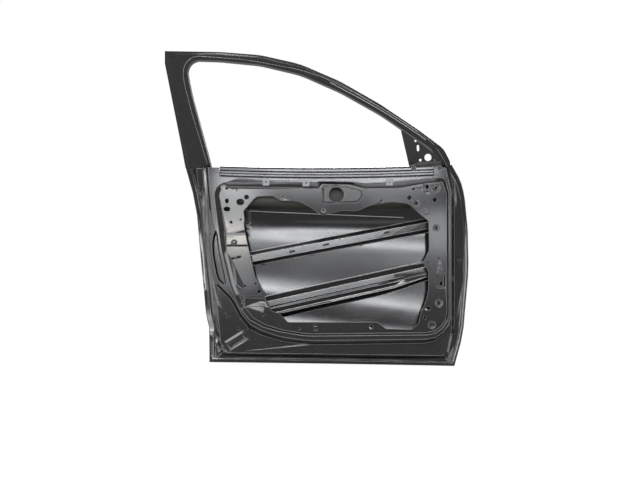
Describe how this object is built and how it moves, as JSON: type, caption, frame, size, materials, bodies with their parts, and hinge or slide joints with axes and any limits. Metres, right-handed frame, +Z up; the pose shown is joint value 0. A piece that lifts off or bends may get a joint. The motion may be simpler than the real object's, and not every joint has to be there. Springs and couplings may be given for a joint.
{
  "type": "car door shell",
  "caption": "Left front door shell of a crossover car in black primed sheet steel: pressed inner panel, hemmed outer skin, window frame and intrusion beams.",
  "frame": {"origin": "centre of the upper hinge face, on the front shut face, midway between its two bolt holes", "axes": "+X forward along the car, +Y outward from the cabin, +Z up"},
  "size_m": [1.1605, 0.1928, 1.192],
  "materials": {
    "primed_steel": "semi-gloss black dip primer",
    "primed_fastener": "semi-gloss black dip primer",
    "plated_clip": "light grey plated sheet",
    "mastic": "soft black mastic",
    "plug_rubber": "matt black rubber"
  },
  "bodies": {
    "root": {"belt_clip_front": "plated_clip", "belt_clip_middle": "plated_clip", "belt_clip_rear": "plated_clip", "belt_reinforcement_inner": "primed_steel", "belt_reinforcement_outer": "primed_steel", "check_strap_reinforcement": "primed_steel", "inner_panel": "primed_steel", "latch_reinforcement": "primed_steel", "ledge_plug": "plug_rubber", "lower_hinge_nut_high": "primed_fastener", "lower_hinge_nut_low": "primed_fastener", "lower_hinge_reinforcement": "primed_steel", "lower_intrusion_beam": "primed_steel", "outer_handle_reinforcement": "primed_steel", "outer_skin": "primed_steel", "pull_handle_bracket": "primed_steel", "rear_glass_guide": "primed_steel", "sail_panel": "primed_steel", "trim_weld_nut": "primed_fastener", "upper_hinge_nut_high": "primed_fastener", "upper_hinge_nut_low": "primed_fastener", "upper_hinge_reinforcement": "primed_steel", "upper_intrusion_beam": "primed_steel", "upper_mastic_pad_1": "mastic", "upper_mastic_pad_2": "mastic", "upper_mastic_pad_3": "mastic", "upper_mastic_pad_4": "mastic", "window_frame_inner": "primed_steel", "window_frame_outer": "primed_steel"}
  },
  "joints": []
}
